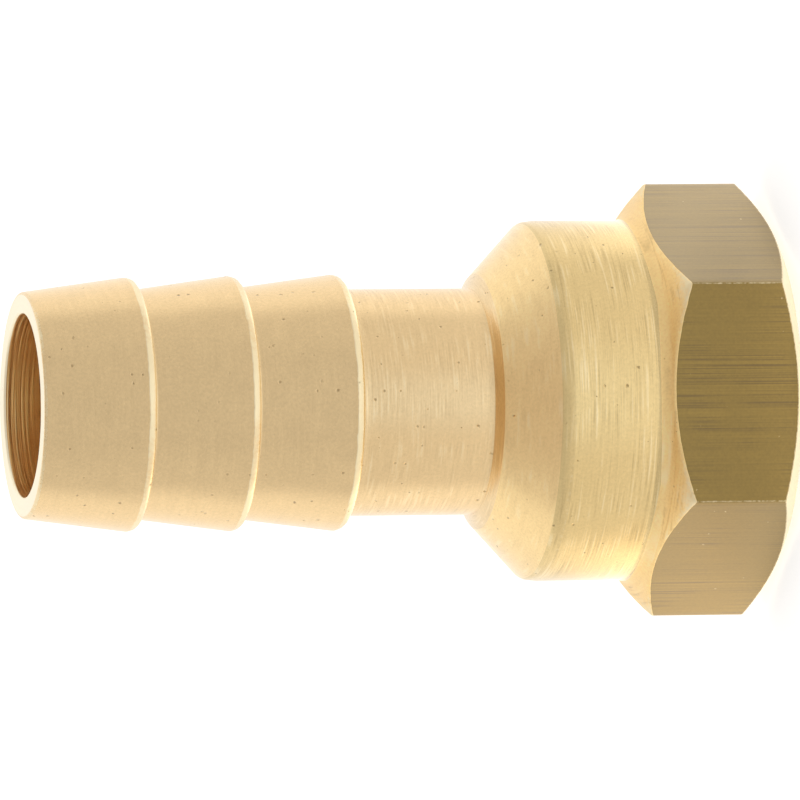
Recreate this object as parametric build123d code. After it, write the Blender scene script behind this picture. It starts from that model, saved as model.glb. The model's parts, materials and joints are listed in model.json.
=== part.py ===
from build123d import *

import math
import os

# Hose tail with a female pipe thread, turned in one piece from hexagon brass bar.
#
# It stands on the end face of its hexagon.  The origin is the centre of that face, +Z runs
# along the bore towards the barbed tip, and one pair of flats faces -Y and +Y.
# Lengths are in mm, angles in degrees.

# ---- Hose end ----
bore_diameter = 12.15          # waterway, from the tip through to the threaded socket
bore_edge_bevel = 0.15         # deburred edge of the bore at the tip
tip_wall = 1.42                # brass round the bore at the tip
tip_edge_bevel = 0.22          # broken outer edge of the tip face
neck_wall = 1.45               # brass round the bore along the plain neck
neck_length = 9.15             # from the last barb to the shoulder

# ---- Barbs: saw teeth that flare away from the tip ----
barb_count = 3
barb_pitch = 7.0               # from one barb's back to the next
tip_barb_length = 7.4          # from the tip face to the first barb's back
barb_height = 0.92             # crest of the first barb above the tip's outside
crest_growth = 0.045           # each later crest is this much larger in radius
root_growth = 0.08             # each later barb starts this much larger in radius
crest_land = 0.75              # narrow band worn round between the crest and the back
crest_land_fall = 0.05         # how far that band drops towards the back
crest_edge_bevel = 0.2         # edge between that band and the back, knocked off by tumbling

# ---- Shoulder, cone and collar ----
shoulder_height = 0.75         # square step from the neck to the cone
shoulder_fillet = 0.45         # blend from the neck to the step
cone_angle = 46.5              # between the cone's side and the bore's axis
cone_corner_radius = 1.3       # blend from the cone to the collar
collar_length = 6.9            # from the cone to the hexagon's chamfer
collar_fillet = 1.15           # blend from the collar to that chamfer

# ---- Hexagon ----
hexagon_length = 9.25          # from the end face to the collar
hexagon_step = 0.52            # how far the flats stand above the collar
arris_radius = 0.25            # rounded corners of drawn hexagon bar
inner_chamfer_angle = 32.0     # turned on the corners beside the collar
end_chamfer_angle = 29.0       # turned on the corners at the end face
end_face_step = 1.1            # how far the end face stops short of the flats

# ---- Threaded socket: G 1/2 parallel pipe thread ----
thread_major_diameter = 20.955
thread_pitch = 1.814
thread_depth_factor = 0.640327     # depth of a 55 degree pipe thread for each unit of pitch
socket_wall = 2.0225           # brass outside the thread, at the flats
socket_floor = 2.15            # from the bottom of the thread up to the start of the cone
mouth_clearance = 0.15         # how far the countersunk mouth clears the thread's major radius
mouth_angle = 45.0
drill_point_angle = 118.0      # the tapping drill leaves this cone at the bottom

# ---- Derived sizes ----
across_flats = thread_major_diameter + 2 * socket_wall
flat_radius = across_flats / 2
blank_radius = flat_radius / math.cos(math.radians(30)) + 0.5   # past the hexagon's corners

bore_radius = bore_diameter / 2
tip_radius = bore_radius + tip_wall
neck_radius = bore_radius + neck_wall
shoulder_radius = neck_radius + shoulder_height
collar_radius = flat_radius - hexagon_step
end_face_radius = flat_radius - end_face_step
major_radius = thread_major_diameter / 2
minor_radius = major_radius - thread_depth_factor * thread_pitch
mouth_radius = major_radius + mouth_clearance

collar_top = hexagon_length + collar_length
shoulder_z = collar_top + (collar_radius - shoulder_radius) / math.tan(math.radians(cone_angle))
last_barb_back = shoulder_z + neck_length
first_barb_back = last_barb_back + (barb_count - 1) * barb_pitch
overall_length = first_barb_back + tip_barb_length

thread_bottom = collar_top - socket_floor
drill_cone_height = (minor_radius - bore_radius) / math.tan(math.radians(drill_point_angle / 2))
drill_cone_top = thread_bottom + drill_cone_height
mouth_depth = (mouth_radius - minor_radius) / math.tan(math.radians(mouth_angle))
inner_chamfer_drop = (blank_radius - collar_radius) * math.tan(math.radians(inner_chamfer_angle))
inner_chamfer_z = hexagon_length - inner_chamfer_drop
end_chamfer_z = (blank_radius - end_face_radius) * math.tan(math.radians(end_chamfer_angle))


def barb_corners():
    """Corners of the saw teeth from the tip to the neck, as (radius, z, corner radius)."""
    corners = []
    for barb in range(barb_count):
        crest = tip_radius + barb_height + barb * crest_growth
        land_end = crest - crest_land_fall
        back_z = first_barb_back - barb * barb_pitch
        is_last = barb == barb_count - 1
        next_start = neck_radius if is_last else tip_radius + (barb + 1) * root_growth
        corners += [
            (crest, back_z + crest_land, 0),
            (land_end, back_z + crest_edge_bevel, 0),
            (land_end - crest_edge_bevel, back_z, 0),
            (next_start, back_z, 0),
        ]
    return corners


def section_corners():
    """Corners of the half section, once round the metal, as (radius, z, corner radius)."""
    tip = [
        (bore_radius, overall_length - bore_edge_bevel, 0),
        (bore_radius + bore_edge_bevel, overall_length, 0),
        (tip_radius - tip_edge_bevel, overall_length, 0),
        (tip_radius, overall_length - tip_edge_bevel, 0),
    ]
    body = [
        (neck_radius, shoulder_z, shoulder_fillet),
        (shoulder_radius, shoulder_z, 0),
        (collar_radius, collar_top, cone_corner_radius),
        (collar_radius, hexagon_length, collar_fillet),
        (blank_radius, inner_chamfer_z, 0),
        (blank_radius, end_chamfer_z, 0),
        (end_face_radius, 0, 0),
    ]
    socket = [
        (mouth_radius, 0, 0),
        (minor_radius, mouth_depth, 0),
        (minor_radius, thread_bottom, 0),
        (bore_radius, drill_cone_top, 0),
    ]
    return tip + barb_corners() + body + socket


def turned_blank():
    """The whole turned shape, as if cut from round bar wider than the hexagon."""
    corners = section_corners()
    points = [(radius, z) for radius, z, _ in corners]
    radii = [corner_radius for _, _, corner_radius in corners]
    with BuildPart() as blank:
        with BuildSketch(Plane.XZ):
            with BuildLine():
                FilletPolyline(*points, radius=radii, close=True)
            make_face()
        revolve(axis=Axis.Z)
    return blank.part


def hexagon_bar():
    """The drawn bar that the part is turned from, with two of its corners on the X axis."""
    with BuildPart() as bar:
        with BuildSketch() as outline:
            RegularPolygon(radius=flat_radius, side_count=6, major_radius=False)
            fillet(outline.vertices(), arris_radius)
        extrude(amount=overall_length + across_flats, both=True)
    return bar.part


hose_tail = turned_blank() & hexagon_bar()
hose_tail.label = "hose_tail"

os.makedirs("parts", exist_ok=True)
export_step(hose_tail, "parts/hose_tail.step")
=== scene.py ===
import json
import math

import bpy
import numpy as np
from mathutils import Matrix, Vector, noise


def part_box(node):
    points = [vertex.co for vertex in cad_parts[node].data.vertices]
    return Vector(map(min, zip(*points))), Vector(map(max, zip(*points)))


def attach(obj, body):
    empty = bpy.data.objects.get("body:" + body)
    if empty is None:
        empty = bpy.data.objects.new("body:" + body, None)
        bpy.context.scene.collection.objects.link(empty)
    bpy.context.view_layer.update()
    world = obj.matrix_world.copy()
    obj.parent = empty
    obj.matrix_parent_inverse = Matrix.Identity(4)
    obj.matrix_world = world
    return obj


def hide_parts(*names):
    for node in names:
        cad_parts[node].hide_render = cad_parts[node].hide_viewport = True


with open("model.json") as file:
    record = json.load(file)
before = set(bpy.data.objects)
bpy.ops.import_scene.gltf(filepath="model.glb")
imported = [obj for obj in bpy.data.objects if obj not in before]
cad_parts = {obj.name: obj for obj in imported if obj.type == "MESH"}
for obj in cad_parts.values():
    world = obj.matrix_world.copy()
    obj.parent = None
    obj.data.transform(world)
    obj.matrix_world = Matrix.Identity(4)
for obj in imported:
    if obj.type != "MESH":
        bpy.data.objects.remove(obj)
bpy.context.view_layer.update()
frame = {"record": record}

bl_info = {
    "name": "Hose Tail",
    "version": (1, 0, 0),
    "blender": (4, 5, 0),
    "location": "3D View > Sidebar > Hose Tail",
    "description": "Builds a turned brass hose tail, and its floor, light and camera",
    "category": "Object",
}

NODE = "hose_tail"
MM = 0.001
MOUNTS = {mount["name"]: mount["dims"] for mount in frame["record"]["mounts"]}
NODE_LOW, NODE_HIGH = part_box(NODE)
LENGTH = NODE_HIGH.z - NODE_LOW.z
ACROSS_FLATS = NODE_HIGH.y - NODE_LOW.y
FLAT_COUNT = 6
HALF_FLAT_ANGLE = math.pi / FLAT_COUNT


def distance(name, description, millimetres):
    """A size that the user can change, kept in metres."""
    return bpy.props.FloatProperty(
        name=name,
        description=description,
        default=millimetres * MM,
        unit="LENGTH",
        subtype="DISTANCE",
        precision=5,
    )


def angle(name, description, degrees):
    """An angle that the user can change, kept in radians."""
    return bpy.props.FloatProperty(
        name=name,
        description=description,
        default=math.radians(degrees),
        unit="ROTATION",
        subtype="ANGLE",
    )


def linear(hex_colour):
    """Linear red, green and blue of an sRGB hex colour."""
    values = [int(hex_colour[i : i + 2], 16) / 255 for i in (1, 3, 5)]
    return [v / 12.92 if v <= 0.04045 else ((v + 0.055) / 1.055) ** 2.4 for v in values]


def colour(name, description, hex_colour):
    """A colour that the user can change, kept as linear red, green and blue."""
    return bpy.props.FloatVectorProperty(
        name=name,
        description=description,
        default=linear(hex_colour),
        size=3,
        min=0.0,
        max=1.0,
        subtype="COLOR",
    )


class HoseTailSizes(bpy.types.PropertyGroup):
    """Sizes of the turned shape, the hexagon and the thread."""

    bore: distance("Bore radius", "Waterway from the tip to the socket", MOUNTS["waterway"]["r_mm"])
    bore_edge: distance("Bore edge", "Radius of the deburred bore edge at the tip", 0.15)
    tip_wall: distance("Tip wall", "Brass round the bore at the tip", 1.42)
    tip_edge: distance("Tip edge", "Radius of the tip's outer edge", 0.19)
    neck_wall: distance("Neck wall", "Brass round the bore along the neck", 1.45)

    barb_count: bpy.props.IntProperty(
        name="Barbs", description="Number of saw teeth", default=3, min=1, max=8
    )
    barb_pitch: distance("Barb pitch", "From one barb's back to the next", 7.0)
    tip_barb: distance("Tip barb length", "From the tip face to the first barb's back", 7.4)
    barb_height: distance("Barb height", "First crest above the tip's outside", 0.92)
    crest_growth: distance("Crest growth", "How much larger each later crest is in radius", 0.045)
    root_growth: distance("Root growth", "How much larger each later barb starts in radius", 0.08)
    crest_land: distance("Crest land", "Narrow band between the crest and the back", 0.50)
    crest_fall: distance("Land fall", "Drop of that band towards the back", 0.12)
    crest_front: distance("Crest front edge", "Radius where the flank meets the band", 0.12)
    crest_back: distance("Crest back edge", "Radius worn on the band's back edge by tumbling", 0.34)
    crest_nicks: distance("Crest nicks", "How far the worn crest wanders from a true circle", 0.035)
    barb_root: distance("Barb root", "Radius that the tool's nose leaves behind a barb", 0.15)

    step: distance("Shoulder height", "Step from the neck to the cone", 0.75)
    step_lean: distance("Shoulder lean", "How far the step leans out from the bore", 0.22)
    step_fillet: distance("Shoulder fillet", "Radius between the neck and the step", 0.06)
    step_edge: distance("Shoulder edge", "Radius of the step's outer edge", 0.05)
    cone_angle: angle("Cone angle", "Between the cone's side and the bore's axis", 46.5)
    cone_blend: distance("Cone blend", "Radius between the cone and the collar", 0.45)
    witness_drop: distance("Witness drop", "How much narrower the collar is where it meets the cone", 0.08)
    witness_length: distance("Witness length", "From there down to the line where two cuts meet", 0.72)
    witness_wander: distance("Witness wander", "How far that line wanders up and down", 0.10)
    collar_length: distance("Collar length", "From the cone to the hexagon's chamfer", 6.9)
    collar_fillet: distance("Collar fillet", "Radius between the collar and the chamfer", 1.15)

    hexagon_length: distance("Hexagon length", "From the end face to the collar", 9.25)
    hexagon_step: distance("Hexagon step", "How far the flats stand above the collar", 0.52)
    arris: distance("Arris radius", "Rounded corners of the drawn bar", 0.25)
    inner_chamfer: angle("Inner chamfer", "Slope turned on the corners beside the collar", 32.0)
    end_chamfer: angle("End chamfer", "Slope turned on the corners at the end face", 27.0)
    end_step: distance("End face step", "How far the end face stops short of the flats", 0.95)
    flat_edge: distance("Flat edge", "Softened edge between a flat and a chamfer", 0.10)
    end_edge: distance("End edge", "Edge between a flat and the end chamfer", 0.05)
    edge_nicks: distance("Edge nicks", "How far the torn edge wanders near the corners", 0.10)

    thread_minor: distance(
        "Thread minor radius", "Bored radius of the socket", MOUNTS["female_thread"]["r_mm"]
    )
    thread_pitch: distance("Thread pitch", "Advance of the thread in one turn", 1.814)
    thread_depth: distance("Thread depth", "Depth of the cut thread", 1.1616)
    thread_bottom: distance("Thread bottom", "From the end face to the drill's cone", 14.0)
    thread_fade: distance("Thread run-out", "Length in which the last turns lose their depth", 2.2)
    mouth_clearance: distance("Mouth clearance", "Countersunk mouth beyond the thread", 0.15)
    drill_angle: angle("Drill point", "Half angle of the tapping drill's point", 59.0)


class HoseTailFinish(bpy.types.PropertyGroup):
    """Colours and textures of the brass."""

    # One brass throughout: the zone colours differ partly by finish and partly as painted light and shade,
    # each made lighter or darker to the brightness its zone shows.
    turned: colour("Turned brass", "Bright brass as a sharp tool leaves it", "#E6CA90")
    tumbled: colour("Tumbled brass", "Turned brass dulled by tumbling", "#F1D29F")
    # The faced colour's near-white paleness is partly a painted highlight.
    faced: colour("Faced brass", "Pale brass of the squared ends", "#FFF2D2")
    # The rubbed colour is bare brass and a painted highlight in one: near white, it paints the rubbed edges
    # and the glints on lines.
    bare_and_highlight: colour("Rubbed brass", "Edges burnished nearly white", "#FAE8BE")
    cone: colour("Cone brass", "Cone between the shoulder and the collar", "#FCDB9F")
    # The form-cut colour's warmth is partly a painted reflection of brass facing brass.
    formed: colour("Form-cut brass", "Fillet and chamfer cut with a form tool", "#FFDA97")
    # The drawn colour is darker partly as painted shade.
    drawn: colour("Drawn brass", "Skin of the drawn hexagon bar", "#8C7230")
    # The bored colour is lighter partly as painted light.
    bored: colour("Bored brass", "Wall of the waterway", "#FFD390")
    # Grime is dirt and painted shade in one: it darkens pits and the lowest lines.
    grime_and_shade: colour("Grime", "Dull brown that stays in pits and scratches", "#6E5730")


class HoseTailStage(bpy.types.PropertyGroup):
    """Floor, light and camera."""

    floor_colour: colour("Floor", "Matt white paper", "#DDDCDA")
    azimuth: angle("Azimuth", "Camera's turn about the part, from looking along +Y", -2.08)
    elevation: angle("Elevation", "Camera's height above the horizon", 12.955)
    roll: angle("Roll", "Camera's turn about its own axis", -90.529)
    aim_x: distance("Aim X", "Point in the middle of the picture", 0.142)
    aim_z: distance("Aim Z", "Point in the middle of the picture", 24.611)
    camera_distance: distance("Camera distance", "From the camera to that point", 994.49)
    lens: bpy.props.FloatProperty(name="Lens", description="Focal length", default=674.06, unit="CAMERA")


# ---- Outline of the turned shape ----

# How finely the skin is divided.
FILLET_STEPS = 4
CHAMFER_ROWS = 9
CHAMFER_CROWDING = 1.6      # above 1, the chamfer's rows lie closer together near the collar
FLAT_ROWS = 8
END_CHAMFER_ROWS = 5
COLUMNS_PER_FLAT = 40
CORNER_COLUMNS = 5
THREAD_ROWS_PER_TURN = 13
LONG_ROW = 0.55 * MM
EDGE_GUARD = 0.08 * MM      # rows this close to a worn edge keep its wear from spreading
NARROW_LAND = 1.0 * MM      # a land narrower than this is worn from edge to edge

FIRST_FLAT = math.radians(-90)          # one flat faces -Y
FLANK_ANGLE = math.radians(27.5)        # half the angle between the flanks of a pipe thread
THREAD_ROUNDING = 0.45                  # how far crests and roots are rounded, up to 1


def rounded(before, corner, after, radius, steps=FILLET_STEPS):
    """Points of the arc that rounds one corner of an outline."""
    corner, before, after = Vector(corner), Vector(before), Vector(after)
    to_before = (before - corner).normalized()
    to_after = (after - corner).normalized()
    half = to_before.angle(to_after) / 2
    setback = radius / math.tan(half)
    centre = corner + (to_before + to_after).normalized() * (radius / math.sin(half))
    start = corner + to_before * setback - centre
    end = corner + to_after * setback - centre
    sweep = math.atan2(start.cross(end), start.dot(end))
    return [centre + Matrix.Rotation(sweep * step / steps, 2) @ start for step in range(steps + 1)]


def divided(start, end, spacing=LONG_ROW):
    """Points between two ends of a straight stretch, without the ends themselves."""
    count = max(1, round((end - start).length / spacing))
    return [start.lerp(end, i / count) for i in range(1, count)]


def outline(corners):
    """Dense points of an outline, as (point, zone, wear).

    A corner is (radius, z, rounding, zone, wear).  Its zone is the finish from its arc onwards, and
    its wear is how bare it has been rubbed and also how strongly a highlight is painted on it.  A
    narrow land between two worn corners is worn and highlighted too.  The first and last corners stay
    sharp.
    """
    places = [Vector(corner[:2]) for corner in corners]
    points = [(places[0], corners[0][3], corners[0][4])]
    for i in range(1, len(corners)):
        _, _, rounding, zone, wear_and_highlight = corners[i]
        arc = [places[i]]
        if rounding and i < len(corners) - 1:
            arc = rounded(places[i - 1], places[i], places[i + 1], rounding)
        last_place, last_zone, last_wear_and_highlight = points[-1]
        stretch = divided(last_place, arc[0])
        travel = arc[0] - last_place
        if max(last_wear_and_highlight, wear_and_highlight) > 0.0 and travel.length > NARROW_LAND:
            guard = travel.normalized() * EDGE_GUARD
            stretch = [last_place + guard] + stretch[1:-1] + [arc[0] - guard]
        land_wear_and_highlight = min(last_wear_and_highlight, wear_and_highlight) if travel.length < NARROW_LAND else 0.0
        points += [(place, last_zone, land_wear_and_highlight) for place in stretch]
        points += [(place, zone, wear_and_highlight) for place in arc]
    return points


class Profile:
    """The half section of the part at every angle round the bore."""

    def __init__(self, sizes):
        self.s = sizes
        self.flat = ACROSS_FLATS / 2
        self.collar = self.flat - sizes.hexagon_step
        self.end_face = self.flat - sizes.end_step
        self.tip = sizes.bore + sizes.tip_wall
        self.neck = sizes.bore + sizes.neck_wall
        self.shoulder = self.neck + sizes.step
        self.collar_top = sizes.hexagon_length + sizes.collar_length
        self.shoulder_z = self.collar_top + (self.collar - self.shoulder) / math.tan(sizes.cone_angle)
        self.witness_top = self.collar_top + sizes.witness_drop / math.tan(sizes.cone_angle)
        self.witness_z = self.witness_top - sizes.witness_length
        self.mouth = sizes.thread_minor + sizes.thread_depth + sizes.mouth_clearance
        self.arris_start = math.atan((self.flat - sizes.arris) * math.tan(HALF_FLAT_ANGLE) / self.flat)
        self.angles = self.column_angles()

    def column_angles(self):
        """Angles of the columns, closer together where they cross an arris."""
        on_flat = np.linspace(-self.arris_start, self.arris_start, COLUMNS_PER_FLAT)
        next_flat = 2 * HALF_FLAT_ANGLE - self.arris_start
        on_arris = np.linspace(self.arris_start, next_flat, CORNER_COLUMNS + 2)[1:-1]
        angles = []
        for flat in range(FLAT_COUNT):
            middle = FIRST_FLAT + 2 * flat * HALF_FLAT_ANGLE
            angles += list(middle + on_flat) + list(middle + on_arris)
        return np.array(angles)

    def from_middle(self):
        """Angle from the middle of the flat that each column lies on."""
        turn = (self.angles - FIRST_FLAT + HALF_FLAT_ANGLE) % (2 * HALF_FLAT_ANGLE)
        return np.abs(turn - HALF_FLAT_ANGLE)

    def hexagon_radius(self):
        """Radius of the rounded hexagon at every column."""
        rho = self.s.arris
        centre = (self.flat - rho) / math.cos(HALF_FLAT_ANGLE)
        turn = self.from_middle()
        on_flat = self.flat / np.cos(turn)
        from_corner = HALF_FLAT_ANGLE - turn
        reach = np.maximum(rho**2 - (centre * np.sin(from_corner)) ** 2, 0.0)
        on_arris = centre * np.cos(from_corner) + np.sqrt(reach)
        return np.where(turn <= self.arris_start + TINY, on_flat, on_arris)

    def nearness_to_corner(self):
        """0 in the middle of a flat and 1 on the hexagon's corner, at every column."""
        return (np.tan(self.from_middle()) / math.tan(HALF_FLAT_ANGLE)) ** 2

    def around(self, waves, height, seed):
        """Noise between 0 and 1 at every column; more waves make it finer."""
        places = np.column_stack([np.cos(self.angles) * waves, np.sin(self.angles) * waves])
        return np.array([0.5 + 0.5 * noise.noise(Vector((x + seed, y, height))) for x, y in places])

    def barb_corners(self):
        """Corners of the saw teeth from the tip to the neck."""
        s = self.s
        corners = []
        first_back = LENGTH - s.tip_barb
        for barb in range(s.barb_count):
            crest = self.tip + s.barb_height + barb * s.crest_growth
            back = first_back - barb * s.barb_pitch
            is_last = barb == s.barb_count - 1
            root = self.neck if is_last else self.tip + (barb + 1) * s.root_growth
            after = "neck" if is_last else "tumbled"
            # The crest and its land are rubbed bare and painted with a highlight.
            corners += [
                (crest, back + s.crest_land, s.crest_front, "tumbled", 1.0),
                (crest - s.crest_fall, back, s.crest_back, "tumbled", 1.0),
                (root, back, s.barb_root, after, 0.0),
            ]
        return corners

    def hose_end(self):
        """Outline from the tip face to the top of the collar fillet."""
        s = self.s
        # The last number of each corner is its wear, which also sets how strongly a highlight is painted.
        corners = [
            (s.bore, LENGTH - 2 * s.bore_edge, 0, "bored", 0.0),
            (s.bore, LENGTH, s.bore_edge, "faced", 0.5),
            (self.tip, LENGTH, s.tip_edge, "tumbled", 0.7),
        ]
        corners += self.barb_corners()
        corners += [
            (self.neck, self.shoulder_z + s.step_lean, s.step_fillet, "neck", 0.0),
            (self.shoulder + s.step_lean, self.shoulder_z - s.step_lean, s.step_edge, "cone", 0.0),
            (self.collar - s.witness_drop, self.witness_top, s.cone_blend, "turned", 0.0),
            (self.collar, self.witness_z, 0, "turned", 0.4),
            (self.collar, self.fillet_top(), 0, "turned", 0.0),
        ]
        return outline(corners)

    def fillet_top(self):
        """Height where the collar's straight side ends and its fillet starts."""
        between_sides = math.radians(90) + self.s.inner_chamfer
        return self.s.hexagon_length + self.s.collar_fillet / math.tan(between_sides / 2)

    def inner_blend(self, radius):
        """Height of the collar fillet and the inner chamfer at each radius outside the collar."""
        s = self.s
        rho = s.collar_fillet
        out = np.maximum(radius - self.collar, 0.0)
        on_arc = self.fillet_top() - np.sqrt(np.maximum(rho**2 - (rho - out) ** 2, 0.0))
        on_chamfer = s.hexagon_length - out * math.tan(s.inner_chamfer)
        arc_reach = rho * (1 - math.sin(s.inner_chamfer))
        return np.where(out < arc_reach, on_arc, on_chamfer)

    def thread(self, heights):
        """Radius of the threaded wall: rows of heights, columns of angles.

        Known fault: turns adds the angle to the height, which makes a left-hand helix.  The right-hand
        thread that this part should have takes the angle away instead.
        """
        s = self.s
        turns = heights[:, None] / s.thread_pitch + self.angles[None, :] / (2 * math.pi)
        wave = np.abs((turns % 1.0) * 2 - 1)
        flank = s.thread_depth * math.tan(FLANK_ANGLE) * 2 / s.thread_pitch
        ramp = np.clip((wave - 0.5) / flank + 0.5, 0.0, 1.0)
        smooth = ramp * ramp * (3 - 2 * ramp)
        soft = ramp * (1 - THREAD_ROUNDING) + smooth * THREAD_ROUNDING
        depth = np.clip((s.thread_bottom - heights) / s.thread_fade, 0.0, 1.0)[:, None]
        cut = s.thread_minor + s.thread_depth * soft * depth
        mouth = (self.mouth - heights)[:, None]
        return np.maximum(cut, mouth)


# ---- Body ----

ZONES = ("tumbled", "neck", "faced", "cone", "turned", "chamfered", "drawn", "threaded", "bored")

# Waves round the part in the noise that makes it uneven, and a seed for each.
CREST_WAVES, CREST_SEED, CREST_FINE_SEED = 11.0, 3.0, 9.0
WITNESS_WAVES, WITNESS_SEED = 7.0, 31.0
WEAR_WAVES, WEAR_SEED = 2.5, 21.0
TORN_WAVES, TORN_SEED = 26.0, 5.0

CREST_BAND = 0.25 * MM      # depth below a crest that knocks still reach
CREST_CLIMB = 1.3           # change of the knocks' noise for each millimetre along the bore
CREST_FINE = 2.7            # how much finer the crest's small knocks are than its large ones
CREST_SHARES = 0.6, 0.4     # of the large knocks and of the small ones
# The wear below is also the strength of a painted highlight.
WEAR_CLIMB = 0.3            # change of the wear's noise for each millimetre along the bore
WEAR_MOST, WEAR_DROP = 1.10, 0.9    # wear is scaled by the first, less up to the second
TORN_ON_FLAT = 0.3          # how ragged the chamfer's edge is in mid flat, against 1.3 at a corner
END_RING_EDGE = 0.05 * MM   # edges of the end face's ring
DRILL_EDGE = 0.1 * MM       # edge between the drill's cone and the waterway

# Wear and painted highlight at the hexagon's edges: 0 is as machined and 1 is rubbed bare and painted
# bright.
CHAMFER_WEAR_AND_HIGHLIGHT = 0.8
CHAMFER_EDGE_WEAR_AND_HIGHLIGHT = 0.85
FLAT_EDGE_WEAR_AND_HIGHLIGHT = 0.5
ARRIS_WEAR_AND_HIGHLIGHT = 0.42
ARRIS_FROM = 0.985          # nearness to a corner from which a column counts as the arris

EDGE_SHARE = 0.45           # the most of a short side that a softened edge takes up
EDGE_HOLD = 0.6             # rows of a flat start this much of its edge's size from the edge
TINY = 1e-9


class Skin:
    """Rings of points round the bore, stacked into one closed skin."""

    def __init__(self, angles):
        self.angles = angles
        self.radii = []
        self.heights = []
        self.zones = []
        self.wear_and_highlight = []

    def ring(self, radius, height, zone, wear_and_highlight=0.0):
        """Adds one ring; the zone is the finish of the strip that follows it."""
        self.radii.append(np.broadcast_to(radius, self.angles.shape).astype(float))
        self.heights.append(np.broadcast_to(height, self.angles.shape).astype(float))
        self.zones.append(ZONES.index(zone))
        self.wear_and_highlight.append(np.broadcast_to(wear_and_highlight, self.angles.shape).astype(float))

    def mesh(self, name):
        """A closed mesh of all rings, the last one joined to the first."""
        radii, heights = np.array(self.radii), np.array(self.heights)
        rows, columns = radii.shape
        points = np.stack([radii * np.cos(self.angles), radii * np.sin(self.angles), heights], axis=-1)
        index = np.arange(rows * columns).reshape(rows, columns)
        below = np.roll(index, -1, axis=0)
        corners = [index, below, np.roll(below, -1, axis=1), np.roll(index, -1, axis=1)]
        quads = np.stack(corners, axis=-1).reshape(-1, 4)
        mesh = bpy.data.meshes.new(name)
        mesh.from_pydata(points.reshape(-1, 3).tolist(), [], quads.tolist())
        mesh.polygons.foreach_set("material_index", np.repeat(self.zones, columns).astype(np.int32))
        mesh.polygons.foreach_set("use_smooth", np.ones(len(quads), dtype=bool))
        wear_and_highlight = mesh.attributes.new("wear_and_highlight", "FLOAT", "POINT")
        wear_and_highlight.data.foreach_set("value", np.array(self.wear_and_highlight).ravel().astype(np.float32))
        mesh.update()
        return mesh


def smooth_noise(points, seed):
    """Noise between -1 and 1 at each point."""
    return np.array([noise.noise(Vector(point) + Vector((seed, 0.0, 0.0))) for point in points])


def worn_crest(profile, point, radius, height):
    """Moves the points of a crest in and out a little, as knocks in tumbling do."""
    crest_depth = profile.tip + profile.s.barb_height - point.x
    if crest_depth > CREST_BAND or point.y < profile.shoulder_z:
        return radius, height
    ring = np.stack([np.cos(profile.angles), np.sin(profile.angles)], axis=-1) * CREST_WAVES
    places = np.column_stack([ring, np.full(len(ring), point.y / MM * CREST_CLIMB)])
    large = smooth_noise(places, CREST_SEED)
    small = smooth_noise(places * CREST_FINE, CREST_FINE_SEED)
    closeness = 1 - max(crest_depth, 0.0) / CREST_BAND
    knocks = large * CREST_SHARES[0] + small * CREST_SHARES[1]
    wander = knocks * profile.s.crest_nicks * closeness
    return radius - np.abs(wander), height + wander * 2


def soft_edge(corner, before, after, size):
    """Three rings that soften an edge, from the ring before it to the ring after it."""
    corner, rings = np.stack(corner), []
    for neighbour in (before, after):
        step = np.stack(neighbour) - corner
        length = np.maximum(np.linalg.norm(step, axis=0), TINY)
        rings.append(corner + step / length * np.minimum(size, length * EDGE_SHARE))
    return [rings[0], (rings[0] + 2 * corner + rings[1]) / 4, rings[1]]


def add_hose_end(skin, profile):
    """Tip, barbs, neck, cone and collar, with uneven crests, and wear with a painted highlight that comes
    and goes.
    """
    for point, zone, wear_and_highlight in profile.hose_end():
        radius, height = worn_crest(profile, point, point.x, point.y)
        if abs(point.y - profile.witness_z) < EDGE_GUARD:
            wander = profile.around(WITNESS_WAVES, 0.0, WITNESS_SEED) - 0.5
            height = height + wander * profile.s.witness_wander
        if wear_and_highlight:
            uneven = profile.around(WEAR_WAVES, point.y / MM * WEAR_CLIMB, WEAR_SEED)
            wear_and_highlight = wear_and_highlight * (WEAR_MOST - WEAR_DROP * uneven)
        skin.ring(radius, height, zone, wear_and_highlight)


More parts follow.
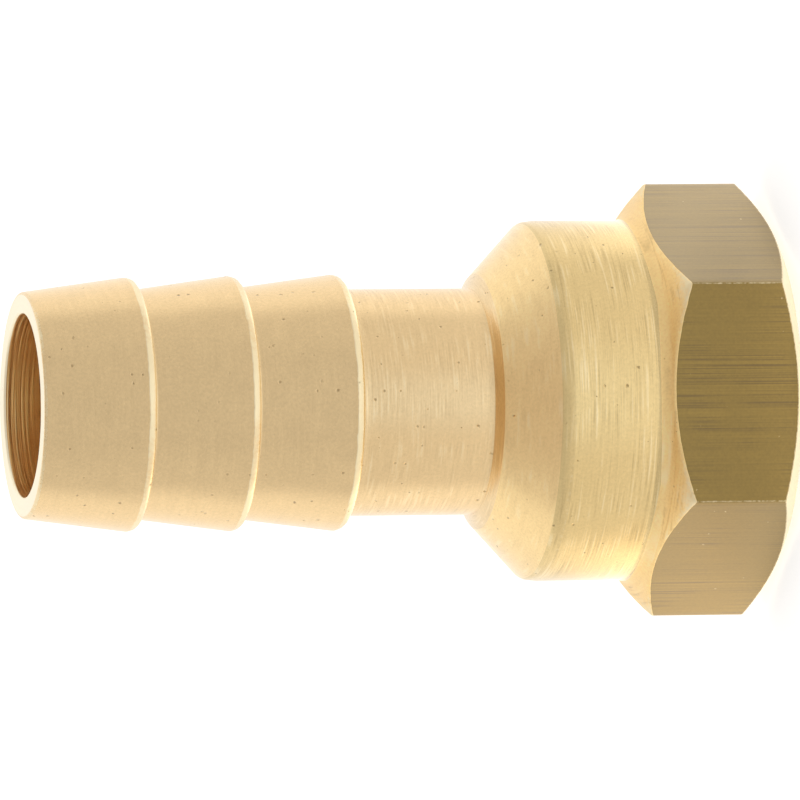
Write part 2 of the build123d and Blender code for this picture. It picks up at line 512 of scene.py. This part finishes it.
def add_hexagon(skin, profile):
    """Collar fillet, inner chamfer, flats and end chamfer, each ending where the hexagon cuts it."""
    s = profile.s
    hexagon = profile.hexagon_radius()
    corner = profile.nearness_to_corner()
    torn = profile.around(TORN_WAVES, 0.0, TORN_SEED) * s.edge_nicks * (TORN_ON_FLAT + corner)
    inner_z = profile.inner_blend(hexagon) - torn
    end_z = (hexagon - profile.end_face) * math.tan(s.end_chamfer)
    # The chamfers and edges near the corners are worn and painted with a highlight, most at the corners.
    for row in range(1, CHAMFER_ROWS):
        share_out = (row / CHAMFER_ROWS) ** CHAMFER_CROWDING
        radius = profile.collar + (hexagon - profile.collar) * share_out
        wear_and_highlight = CHAMFER_WEAR_AND_HIGHLIGHT * corner**2 * share_out
        skin.ring(radius, profile.inner_blend(radius), "chamfered", wear_and_highlight)
    before = (radius, profile.inner_blend(radius))
    inner_edge = soft_edge((hexagon, inner_z), before, (hexagon, end_z), s.flat_edge)
    end_foot = (np.full_like(hexagon, profile.end_face), np.zeros_like(hexagon))
    end_edge = soft_edge((hexagon, end_z), (hexagon, inner_z), end_foot, s.end_edge)
    for ring in inner_edge[:-1]:
        skin.ring(ring[0], ring[1], "chamfered", CHAMFER_EDGE_WEAR_AND_HIGHLIGHT * corner)
    top, bottom = inner_edge[-1][1], end_edge[0][1]
    # A painted highlight line, with wear, runs along the arris.
    arris = ARRIS_WEAR_AND_HIGHLIGHT * (corner > ARRIS_FROM)
    skin.ring(hexagon, top, "drawn", np.maximum(FLAT_EDGE_WEAR_AND_HIGHLIGHT * corner, arris))
    holding = s.flat_edge * EDGE_HOLD
    for row in range(FLAT_ROWS + 1):
        share_down = row / FLAT_ROWS
        skin.ring(hexagon, top - holding + (bottom - top + 2 * holding) * share_down, "drawn", arris)
    for ring, zone in zip(end_edge, ("drawn", "faced", "faced")):
        skin.ring(ring[0], ring[1], zone, FLAT_EDGE_WEAR_AND_HIGHLIGHT)
    last = end_edge[-1]
    for row in range(1, END_CHAMFER_ROWS):
        blend = row / END_CHAMFER_ROWS
        skin.ring(last[0] * (1 - blend) + end_foot[0] * blend, last[1] * (1 - blend), "faced")


def add_end_face(skin, profile):
    """Flat ring between the end chamfer and the socket's mouth."""
    edge = END_RING_EDGE
    skin.ring(profile.end_face + edge, edge * math.tan(profile.s.end_chamfer), "faced")
    skin.ring(profile.end_face - edge, 0.0, "faced")
    skin.ring(profile.mouth + 2 * edge, 0.0, "faced")
    skin.ring(profile.mouth + edge, 0.0, "threaded")


def add_socket(skin, profile):
    """Countersunk mouth, thread, drill cone and waterway, back to the tip."""
    s = profile.s
    turns = s.thread_bottom / s.thread_pitch
    heights = np.linspace(0.0, s.thread_bottom, round(turns * THREAD_ROWS_PER_TURN))
    heights[0] = END_RING_EDGE
    for radius, height in zip(profile.thread(heights), heights):
        skin.ring(radius, height, "threaded")
    cone_top = s.thread_bottom + (s.thread_minor - s.bore) / math.tan(s.drill_angle)
    corners = [
        (s.thread_minor, s.thread_bottom, 0, "bored", 0.0),
        (s.bore, cone_top, DRILL_EDGE, "bored", 0.0),
        (s.bore, LENGTH - 2 * s.bore_edge, 0, "bored", 0.0),
    ]
    for point, zone, wear_and_highlight in outline(corners)[1:-1]:
        skin.ring(point.x, point.y, zone, wear_and_highlight)


def add_node(tree, kind, inputs=None, **settings):
    """Adds a node, sets its properties, and sets or links its inputs.

    An input given as a node is linked to the first output that the node has in use.
    """
    node = tree.nodes.new(kind)
    for name, value in settings.items():
        setattr(node, name, value)
    for name, value in (inputs or {}).items():
        if isinstance(value, bpy.types.Node):
            value = next(output for output in value.outputs if output.enabled)
        if isinstance(value, bpy.types.NodeSocket):
            tree.links.new(value, node.inputs[name])
        else:
            node.inputs[name].default_value = value
    return node


# ---- Finishes ----

# Sizes of the patterns that all finishes share.  The metal's real grain and the roughness of a rubbed
# edge are a few hundredths of a millimetre, too fine to show, and are drawn about five times coarser.
GRAIN_SIZE = 0.18 * MM
GRAIN_HEIGHT = 0.003 * MM
RUB_SIZE = 0.25 * MM
CLOUD_SIZE = 1.5 * MM

# Lines: noise from which a patch of them starts and is full, how strong they are between patches, and
# how far above or below the surface a line starts to take a painted glint, or dirt and painted shade, and
# does so fully.
PATCH_EDGE = (0.36, 0.60)
BETWEEN_PATCHES = 0.2
LINE_HEIGHTS = (0.05, 0.16)
OUTWARD_SHARE = 1.7         # travel across a sloping face, for each unit of its radius

# Pits: size and strength of the noise that makes them ragged, share of the radius that is full
# depth, strength of their colour, and depth for each unit of radius.
PIT_WANDER_SIZE = 0.2 * MM
PIT_WANDER = 0.25
PIT_FLOOR = 0.2
PIT_STRENGTH = 0.6
PIT_DEPTH = 0.4
LEAST_PIT = 0.0001          # keeps the division by a pit's size away from zero

# Rubbed edges, bare metal and painted highlight in one: how much noise is added to the wear, the sums
# at which the bare, highlighted colour starts and is full, and how much rougher bare metal is.
RUB_NOISE = 0.8
RUB_EDGE = (0.7, 1.15)
RUB_ROUGHNESS = 0.12

SHEEN_SPREAD = 0.4          # how much the clouds vary the roughness, as a share of it
ACROSS_RINGS = 0.25         # a quarter turn, so that highlights stretch across turned rings


def new_material(name):
    """An empty material and its node tree."""
    material = bpy.data.materials.new(name)
    material.use_nodes = True
    material.node_tree.nodes.clear()
    return material, material.node_tree


def ring_place(tree, place):
    """Coordinates whose Z runs along the turned outline, so that rings lie across every face."""
    split = add_node(tree, "ShaderNodeSeparateXYZ", {"Vector": place}).outputs
    flat = add_node(tree, "ShaderNodeCombineXYZ", {"X": split["X"], "Y": split["Y"]})
    radius = add_node(tree, "ShaderNodeVectorMath", {0: flat}, operation="LENGTH")
    travel = add_node(
        tree, "ShaderNodeMath", {0: radius, 1: OUTWARD_SHARE, 2: split["Z"]}, operation="MULTIPLY_ADD"
    )
    return add_node(tree, "ShaderNodeCombineXYZ", {"X": split["X"], "Y": split["Y"], "Z": travel})


def brass(
    name,
    base,
    finish,
    roughness,
    line_spacing,
    line_length,
    line_depth,
    line_shade,
    glint=0.0,
    grime_and_shade_in_lines=0.0,
    line_patch=3 * MM,
    pit_spacing=0.6 * MM,
    pit_radius=0.09 * MM,
    pit_share=0.3,
    pit_colour=None,
    cloud_shade=0.10,
    grain_shade=0.10,
    anisotropy=0.0,
    coat=0.0,
    drawn=False,
):
    """One finish of the brass: lines left by tool or die, with painted glints and shade, pits, rubbed edges
    with a painted highlight, and an uneven sheen.
    """
    material, tree = new_material(name)
    place = add_node(tree, "ShaderNodeTexCoord").outputs["Object"]

    # Die lines run along the bar and feed rings round it, broken up into patches.
    along = place if drawn else ring_place(tree, place)
    sideways, lengthways = (line_spacing, line_length) if drawn else (line_length, line_spacing)
    stretch = (1 / sideways, 1 / sideways, 1 / lengthways)
    stretched = add_node(tree, "ShaderNodeVectorMath", {0: along, 1: stretch}, operation="MULTIPLY")
    lines = add_node(tree, "ShaderNodeTexNoise", {"Vector": stretched, "Scale": 1.0, "Detail": 2.0})
    patches = add_node(
        tree, "ShaderNodeTexNoise", {"Vector": place, "Scale": 1 / line_patch, "Detail": 2.0}
    )
    present = add_node(
        tree,
        "ShaderNodeMapRange",
        {
            "Value": patches, "From Min": PATCH_EDGE[0], "From Max": PATCH_EDGE[1],
            "To Min": BETWEEN_PATCHES, "To Max": 1.0,
        },
    )
    centred = add_node(tree, "ShaderNodeMath", {0: lines, 1: 0.5}, operation="SUBTRACT")
    groove = add_node(tree, "ShaderNodeMath", {0: centred, 1: present}, operation="MULTIPLY")

    # A pit lies in the middle of some cells, and its size differs from cell to cell.
    wander = add_node(
        tree, "ShaderNodeTexNoise", {"Vector": place, "Scale": 1 / PIT_WANDER_SIZE, "Detail": 1.0}
    )
    wandered = add_node(
        tree,
        "ShaderNodeVectorMath",
        {0: wander.outputs["Color"], 1: (PIT_WANDER * pit_spacing,) * 3, 2: place},
        operation="MULTIPLY_ADD",
    )
    cells = add_node(tree, "ShaderNodeTexVoronoi", {"Vector": wandered, "Scale": 1 / pit_spacing})
    chance = add_node(tree, "ShaderNodeSeparateColor", {"Color": cells.outputs["Color"]})
    reach = add_node(
        tree,
        "ShaderNodeMapRange",
        {
            "Value": chance.outputs["Red"], "From Min": 1 - pit_share, "From Max": 1.0,
            "To Min": LEAST_PIT, "To Max": pit_radius / pit_spacing,
        },
    )
    inside = add_node(tree, "ShaderNodeMath", {0: cells.outputs["Distance"], 1: reach}, operation="DIVIDE")
    pit = add_node(
        tree,
        "ShaderNodeMapRange",
        {
            "Value": inside, "From Min": PIT_FLOOR, "From Max": 1.0,
            "To Min": PIT_STRENGTH, "To Max": 0.0,
        },
    )

    # Clouds and grain vary the colour at random.  The lines lighten and darken it by their height, painted
    # light and shade of their relief, with painted glints on the highest lines and dirt and painted shade
    # on the lowest.
    cloud = add_node(tree, "ShaderNodeTexNoise", {"Vector": place, "Scale": 1 / CLOUD_SIZE, "Detail": 4.0})
    grain = add_node(tree, "ShaderNodeTexNoise", {"Vector": place, "Scale": 1 / GRAIN_SIZE, "Detail": 2.0})
    shade = add_node(
        tree,
        "ShaderNodeMath",
        {0: cloud, 1: cloud_shade, 2: 1 - (cloud_shade + grain_shade) / 2},
        operation="MULTIPLY_ADD",
    )
    shade = add_node(tree, "ShaderNodeMath", {0: grain, 1: grain_shade, 2: shade}, operation="MULTIPLY_ADD")
    shade = add_node(tree, "ShaderNodeMath", {0: groove, 1: line_shade, 2: shade}, operation="MULTIPLY_ADD")
    skin = add_node(tree, "ShaderNodeVectorMath", {0: base, "Scale": shade}, operation="SCALE")
    bare_and_highlight, grime_and_shade = (*finish.bare_and_highlight, 1.0), (*finish.grime_and_shade, 1.0)
    for share, side, tone in ((glint, 1, bare_and_highlight), (grime_and_shade_in_lines, -1, grime_and_shade)):
        if share:
            starts, full = LINE_HEIGHTS
            strength = add_node(
                tree,
                "ShaderNodeMapRange",
                {
                    "Value": groove, "From Min": side * starts, "From Max": side * full,
                    "To Min": 0.0, "To Max": share,
                },
            )
            skin = add_node(
                tree, "ShaderNodeMix", {"Factor": strength, "A": skin, "B": tone}, data_type="RGBA"
            )

    # Edges with wear are rubbed to bare metal and painted with a highlight, in a near-white colour with a
    # torn outline.
    wear_and_highlight = add_node(tree, "ShaderNodeAttribute", attribute_name="wear_and_highlight").outputs["Fac"]
    torn = add_node(tree, "ShaderNodeTexNoise", {"Vector": place, "Scale": 1 / RUB_SIZE, "Detail": 3.0})
    reached = add_node(tree, "ShaderNodeMath", {0: torn, 1: RUB_NOISE, 2: wear_and_highlight}, operation="MULTIPLY_ADD")
    rubbed_and_highlight = add_node(
        tree,
        "ShaderNodeMapRange",
        {
            "Value": reached, "From Min": RUB_EDGE[0], "From Max": RUB_EDGE[1],
            "To Min": 0.0, "To Max": 1.0,
        },
    )
    skin = add_node(tree, "ShaderNodeMix", {"Factor": rubbed_and_highlight, "A": skin, "B": bare_and_highlight}, data_type="RGBA")
    pit_tone = (*pit_colour, 1.0) if pit_colour else grime_and_shade
    skin = add_node(tree, "ShaderNodeMix", {"Factor": pit, "A": skin, "B": pit_tone}, data_type="RGBA")

    even, uneven = roughness * (1 - SHEEN_SPREAD / 2), roughness * SHEEN_SPREAD
    sheen = add_node(tree, "ShaderNodeMath", {0: cloud, 1: uneven, 2: even}, operation="MULTIPLY_ADD")
    sheen = add_node(
        tree, "ShaderNodeMath", {0: rubbed_and_highlight, 1: RUB_ROUGHNESS, 2: sheen}, operation="MULTIPLY_ADD"
    )
    bump = add_node(tree, "ShaderNodeBump", {"Height": grain, "Distance": GRAIN_HEIGHT})
    bump = add_node(tree, "ShaderNodeBump", {"Height": groove, "Distance": line_depth, "Normal": bump})
    pit_depth = PIT_DEPTH * pit_radius
    bump = add_node(
        tree, "ShaderNodeBump", {"Height": pit, "Distance": pit_depth, "Normal": bump}, invert=True
    )
    shader = add_node(
        tree,
        "ShaderNodeBsdfPrincipled",
        {
            "Base Color": skin, "Metallic": 1.0, "Roughness": sheen, "Anisotropic": anisotropy,
            "Normal": bump,
        },
    )
    if coat:
        shader.inputs["Coat Weight"].default_value = coat
        shader.inputs["Coat Roughness"].default_value = roughness
    if anisotropy:
        tangent = add_node(tree, "ShaderNodeTangent", direction_type="RADIAL", axis="Z").outputs["Tangent"]
        tree.links.new(tangent, shader.inputs["Tangent"])
        shader.inputs["Anisotropic Rotation"].default_value = 0.0 if drawn else ACROSS_RINGS
    add_node(tree, "ShaderNodeOutputMaterial", {"Surface": shader})
    return material


def finishes(finish):
    """One material for each zone of the body, in the order of ZONES.

    Real feed rings are 0.05 to 0.1 mm apart, and die lines are closer still.  Both are too fine to show,
    so their spacing here is drawn two to three times coarser.
    """
    return [
        # Free-machining brass, turned and then tumbled: an even satin with small knocks and faint rings.
        brass(
            "tumbled_turned_brass", finish.tumbled, finish, roughness=0.24, line_spacing=0.2 * MM,
            line_length=3 * MM, line_depth=0.006 * MM, line_shade=0.14, anisotropy=0.3,
            pit_radius=0.16 * MM, cloud_shade=0.08, grain_shade=0.22,
        ),
        # The same brass between barbs and shoulder, which tumbling hardly reaches: short rings are left,
        # with painted glints on their tops.
        brass(
            "protected_turned_brass", finish.tumbled, finish, roughness=0.22, line_spacing=0.16 * MM,
            line_length=2.5 * MM, line_depth=0.010 * MM, line_shade=0.45, glint=0.35, line_patch=2 * MM,
            anisotropy=0.3, cloud_shade=0.06, grain_shade=0.22, pit_radius=0.14 * MM,
        ),
        # The same brass, faced square with a wide tool: fine rings, and a pale colour that is partly a
        # painted highlight.
        brass(
            "faced_brass", finish.faced, finish, roughness=0.30, line_spacing=0.2 * MM,
            line_length=12 * MM, line_depth=0.006 * MM, line_shade=0.08, pit_spacing=0.9 * MM,
            pit_radius=0.08 * MM, anisotropy=0.3,
        ),
        # The cone, turned at a slow feed and then tumbled: nearly smooth, with short faint rings and
        # painted glints on their tops.
        brass(
            "fine_turned_brass", finish.cone, finish, roughness=0.22, line_spacing=0.16 * MM,
            line_length=2.5 * MM, line_depth=0.008 * MM, line_shade=0.35, glint=0.3, line_patch=2 * MM,
            anisotropy=0.3, cloud_shade=0.12, grain_shade=0.25, pit_radius=0.14 * MM,
        ),
        # The collar, turned at a coarse feed: rings that glint where they cross a reflection, with painted
        # glints on their tops and dirt and painted shade in their grooves.
        brass(
            "coarse_turned_brass", finish.turned, finish, roughness=0.21, line_spacing=0.15 * MM,
            line_length=5 * MM, line_depth=0.014 * MM, line_shade=0.50, glint=0.40, grime_and_shade_in_lines=0.12,
            line_patch=2.5 * MM, anisotropy=0.4, cloud_shade=0.08, grain_shade=0.25,
            pit_radius=0.14 * MM,
        ),
        # Cut by the flank of a form tool: torn and matt, with painted glints, dirt and painted shade on its
        # lines, and the warm tone of brass facing brass painted into its colour as a reflection.
        brass(
            "form_cut_brass", finish.formed, finish, roughness=0.42, line_spacing=0.18 * MM,
            line_length=4 * MM, line_depth=0.02 * MM, line_shade=0.40, glint=0.4, grime_and_shade_in_lines=0.15,
            line_patch=2 * MM, grain_shade=0.30, pit_share=0.5,
        ),
        # Skin of the drawn bar under a film of oil: a little green, with straight die lines that hold dirt
        # and painted shade, and bright dings; its darker colour is partly painted shade.
        brass(
            "drawn_hexagon_brass", finish.drawn, finish, roughness=0.34, line_spacing=0.13 * MM,
            line_length=16 * MM, line_depth=0.004 * MM, line_shade=0.80, grime_and_shade_in_lines=0.6,
            line_patch=4 * MM, pit_spacing=0.7 * MM, pit_radius=0.10 * MM, pit_colour=finish.turned,
            cloud_shade=0.12, grain_shade=0.30, coat=1.0, drawn=True,
        ),
        # Tapped thread: bright torn flanks, a little rougher than the turned outside.
        brass(
            "tapped_brass", finish.turned, finish, roughness=0.32, line_spacing=0.2 * MM,
            line_length=3 * MM, line_depth=0.015 * MM, line_shade=0.25, pit_spacing=0.9 * MM,
        ),
        # Drilled waterway: deep feed rings with painted glints, and brown painted shade with a little dirt
        # between them, warm because brass lights brass inside, and lighter in colour as painted light.
        brass(
            "drilled_brass", finish.bored, finish, roughness=0.38, line_spacing=0.2 * MM,
            line_length=9 * MM, line_depth=0.07 * MM, line_shade=1.8, glint=0.9, grime_and_shade_in_lines=0.08,
            line_patch=9 * MM, pit_share=0.1, cloud_shade=0.15,
        ),
    ]


class HOSETAIL_OT_body(bpy.types.Operator):
    """Build the turned body with its hexagon, bore and thread as one closed skin"""

    bl_idname = "hose_tail.body"
    bl_label = "Build Body"

    def execute(self, context):
        profile = Profile(context.scene.hose_tail_sizes)
        skin = Skin(profile.angles)
        add_hose_end(skin, profile)
        add_hexagon(skin, profile)
        add_end_face(skin, profile)
        add_socket(skin, profile)
        body = bpy.data.objects.new("turned_body", skin.mesh("turned_body"))
        context.scene.collection.objects.link(body)
        for material in finishes(context.scene.hose_tail_finish):
            body.data.materials.append(material)
        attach(body, "root")
        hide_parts(NODE)
        return {"FINISHED"}


# ---- Stage ----

FLOOR_SIZE = 8.0
WHITE = (1.0, 1.0, 1.0, 1.0)

# Light added to the floor where metal reflects it, by distance from the bore's axis: the level at the
# axis, then each change as the millimetres where it starts and ends, and the new level.
FLOOR_IN_FRONT = (0.60, (13, 16, 0.78), (18, 26, 0.34), (60, 95, 0.17))
FLOOR_BEHIND = (0.60, (13, 15, 1.25), (17, 28, 1.00), (42, 62, 0.44))
FRONT_ENDS, BACK_STARTS = -0.05, 0.30       # sines of the bearings between which one becomes the other

# Soft round sheets of light on the floor for metal: middle in millimetres, radii where a sheet starts to
# fade and ends, and its red, green and blue.
SHEETS = (
    ((0, -105), (25, 70), (0.05, 0.12, 0.22)),
    ((0, -54), (12, 42), (0.14, 0.14, 0.13)),
    ((-32, 16), (14, 34), (0.36, 0.22, 0.02)),
)
CAMERA_LIFT = (0.54, 0.54, 0.54)            # brings the lit paper up to white where it is seen

# The tent's open side, and how bright the tent is at each angle from it, in degrees.
OPEN_SIDE = (0.026, -0.974, 0.225)
TENT = (
    (180, 1.04), (125, 1.03), (110, 1.00), (99, 0.95), (92, 0.80),
    (85, 0.75), (60, 0.71), (38, 0.65), (32, 0.665),
)
OVERHEAD_STARTS, OVERHEAD_FULL = 0.75, 0.97     # heights in the tent, as sines of the elevation
OVERHEAD_TINT = (0.84, 0.78, 0.75, 1.0)

SOFTBOX_SIZE = 0.8
SOFTBOX_WATTS = 1.6
SOFTBOX_PLACE = (0.0, 0.45, 0.8)
SOFTBOX_AIM = (0.0, 0.0, 0.02)


def floor_material(stage):
    """Matt white paper, lifted to white where it is seen, with the shadow kept.

    For metal only it glows, as painted reflections: bright near the part and darker further out, and
    darker in front than behind, with the sheets of light on it.
    """
    material, tree = new_material("white_paper_with_painted_reflections")
    paper = add_node(tree, "ShaderNodeBsdfDiffuse", {"Color": (*stage.floor_colour, 1.0)})
    place = add_node(tree, "ShaderNodeTexCoord").outputs["Object"]
    split = add_node(tree, "ShaderNodeSeparateXYZ", {"Vector": place}).outputs
    path = add_node(tree, "ShaderNodeLightPath").outputs
    reach = add_node(tree, "ShaderNodeVectorMath", {0: place}, operation="LENGTH").outputs["Value"]
    levels = []
    for level, *changes in (FLOOR_IN_FRONT, FLOOR_BEHIND):
        for start, end, new_level in changes:
            level = add_node(
                tree,
                "ShaderNodeMapRange",
                {
                    "Value": reach, "From Min": start * MM, "From Max": end * MM,
                    "To Min": level, "To Max": new_level,
                },
            )
        levels.append(level)
    bearing = add_node(tree, "ShaderNodeMath", {0: split["Y"], 1: reach}, operation="DIVIDE")
    level = add_node(
        tree,
        "ShaderNodeMapRange",
        {
            "Value": bearing, "From Min": FRONT_ENDS, "From Max": BACK_STARTS,
            "To Min": levels[0], "To Max": levels[1],
        },
    )
    glow = add_node(tree, "ShaderNodeCombineXYZ", {"X": level, "Y": level, "Z": level})
    for (x, y), (start, end), light in SHEETS:
        middle = (x * MM, y * MM, 0.0)
        away = add_node(tree, "ShaderNodeVectorMath", {0: place, 1: middle}, operation="DISTANCE")
        sheet = add_node(
            tree,
            "ShaderNodeMapRange",
            {
                "Value": away.outputs["Value"], "From Min": start * MM, "From Max": end * MM,
                "To Min": 1.0, "To Max": 0.0,
            },
        )
        lit = add_node(tree, "ShaderNodeVectorMath", {0: light, "Scale": sheet}, operation="SCALE")
        glow = add_node(tree, "ShaderNodeVectorMath", {0: glow, 1: lit}, operation="ADD")
    glossy, through = path["Is Glossy Ray"], path["Is Transmission Ray"]
    metal = add_node(tree, "ShaderNodeMath", {0: glossy, 1: through}, operation="MAXIMUM")
    to_metal = add_node(tree, "ShaderNodeVectorMath", {0: glow, "Scale": metal}, operation="SCALE")
    to_camera = add_node(
        tree, "ShaderNodeVectorMath", {0: CAMERA_LIFT, "Scale": path["Is Camera Ray"]}, operation="SCALE"
    )
    glow = add_node(tree, "ShaderNodeVectorMath", {0: to_metal, 1: to_camera}, operation="ADD")
    light = add_node(tree, "ShaderNodeEmission", {"Color": glow, "Strength": 1.0})
    added = add_node(tree, "ShaderNodeAddShader", {0: paper, 1: light})
    add_node(tree, "ShaderNodeOutputMaterial", {"Surface": added})
    return material


def add_floor(stage):
    """One square sheet under the part."""
    half = FLOOR_SIZE / 2
    corners = [(-half, -half, 0), (half, -half, 0), (half, half, 0), (-half, half, 0)]
    mesh = bpy.data.meshes.new("floor")
    mesh.from_pydata(corners, [], [(0, 1, 2, 3)])
    mesh.materials.append(floor_material(stage))
    floor = bpy.data.objects.new("floor", mesh)
    bpy.context.scene.collection.objects.link(floor)


def add_world():
    """A white tent round the part, a little darker on its open side and warm-grey overhead."""
    world = bpy.data.worlds.new("tent")
    world.use_nodes = True
    tree = world.node_tree
    tree.nodes.clear()
    direction = add_node(tree, "ShaderNodeTexCoord").outputs["Generated"]
    facing = add_node(tree, "ShaderNodeVectorMath", {0: direction, 1: OPEN_SIDE}, operation="DOT_PRODUCT")
    level = add_node(tree, "ShaderNodeMath", {0: facing, 1: 0.5, 2: 0.5}, operation="MULTIPLY_ADD")
    ramp = add_node(tree, "ShaderNodeValToRGB", {"Fac": level})
    while len(ramp.color_ramp.elements) < len(TENT):
        ramp.color_ramp.elements.new(0.5)
    for element, (degrees, value) in zip(ramp.color_ramp.elements, TENT):
        element.position = (math.cos(math.radians(degrees)) + 1) / 2
        element.color = (value, value, value, 1.0)
    height = add_node(tree, "ShaderNodeSeparateXYZ", {"Vector": direction}).outputs["Z"]
    overhead = add_node(
        tree,
        "ShaderNodeMapRange",
        {"Value": height, "From Min": OVERHEAD_STARTS, "From Max": OVERHEAD_FULL},
    )
    tint = add_node(
        tree, "ShaderNodeMix", {"Factor": overhead, "A": WHITE, "B": OVERHEAD_TINT}, data_type="RGBA"
    )
    tinted = add_node(tree, "ShaderNodeVectorMath", {0: ramp, 1: tint}, operation="MULTIPLY")
    lit = add_node(tree, "ShaderNodeBackground", {"Color": tinted, "Strength": 1.0})
    seen = add_node(tree, "ShaderNodeBackground", {"Color": WHITE, "Strength": 1.0})
    camera = add_node(tree, "ShaderNodeLightPath").outputs["Is Camera Ray"]
    mixed = add_node(tree, "ShaderNodeMixShader", {0: camera, 1: lit, 2: seen})
    add_node(tree, "ShaderNodeOutputWorld", {"Surface": mixed})
    bpy.context.scene.world = world


def add_softbox():
    """A soft lamp above and behind the part, which gives the shadow and isn't reflected."""
    light = bpy.data.lights.new("overhead_softbox", "AREA")
    light.shape = "SQUARE"
    light.size = SOFTBOX_SIZE
    light.energy = SOFTBOX_WATTS
    box = bpy.data.objects.new("overhead_softbox", light)
    box.location = SOFTBOX_PLACE
    box.rotation_euler = (Vector(SOFTBOX_AIM) - box.location).to_track_quat("-Z", "Y").to_euler()
    box.visible_glossy = False
    bpy.context.scene.collection.objects.link(box)


def add_camera(stage):
    """A long lens, far away, turned so that the part lies on its side in the picture."""
    camera_data = bpy.data.cameras.new("camera")
    camera_data.lens = stage.lens
    camera_data.sensor_width = 36.0
    camera_data.clip_start = 0.01
    camera_data.clip_end = 20.0
    camera = bpy.data.objects.new("camera", camera_data)
    a, e = stage.azimuth, stage.elevation
    back = Vector((math.sin(a) * math.cos(e), -math.cos(a) * math.cos(e), math.sin(e)))
    camera.location = Vector((stage.aim_x, 0.0, stage.aim_z)) + back * stage.camera_distance
    turned = (-back).to_track_quat("-Z", "Y").to_matrix() @ Matrix.Rotation(stage.roll, 3, "Z")
    camera.rotation_euler = turned.to_euler()
    bpy.context.scene.collection.objects.link(camera)
    bpy.context.scene.camera = camera


class HOSETAIL_OT_stage(bpy.types.Operator):
    """Lay the paper floor, light the tent and place the camera"""

    bl_idname = "hose_tail.stage"
    bl_label = "Build Stage"

    def execute(self, context):
        stage = context.scene.hose_tail_stage
        add_floor(stage)
        add_world()
        add_softbox()
        add_camera(stage)
        context.scene.view_settings.view_transform = "Standard"
        return {"FINISHED"}


class HOSETAIL_PT_panel(bpy.types.Panel):
    """Sizes, finishes and buttons"""

    bl_label = "Hose Tail"
    bl_space_type = "VIEW_3D"
    bl_region_type = "UI"
    bl_category = "Hose Tail"

    def draw(self, context):
        scene = context.scene
        for group in (scene.hose_tail_sizes, scene.hose_tail_finish, scene.hose_tail_stage):
            for name in group.__annotations__:
                self.layout.prop(group, name)
        for operator in (HOSETAIL_OT_body, HOSETAIL_OT_stage):
            self.layout.operator(operator.bl_idname)


CLASSES = (
    HoseTailSizes,
    HoseTailFinish,
    HoseTailStage,
    HOSETAIL_OT_body,
    HOSETAIL_OT_stage,
    HOSETAIL_PT_panel,
)


def register():
    for cls in CLASSES:
        bpy.utils.register_class(cls)
    bpy.types.Scene.hose_tail_sizes = bpy.props.PointerProperty(type=HoseTailSizes)
    bpy.types.Scene.hose_tail_finish = bpy.props.PointerProperty(type=HoseTailFinish)
    bpy.types.Scene.hose_tail_stage = bpy.props.PointerProperty(type=HoseTailStage)


def unregister():
    del bpy.types.Scene.hose_tail_sizes
    del bpy.types.Scene.hose_tail_finish
    del bpy.types.Scene.hose_tail_stage
    for cls in reversed(CLASSES):
        bpy.utils.unregister_class(cls)


def main():
    register()
    bpy.ops.hose_tail.body()
    bpy.ops.hose_tail.stage()


if __name__ == "__main__":
    main()
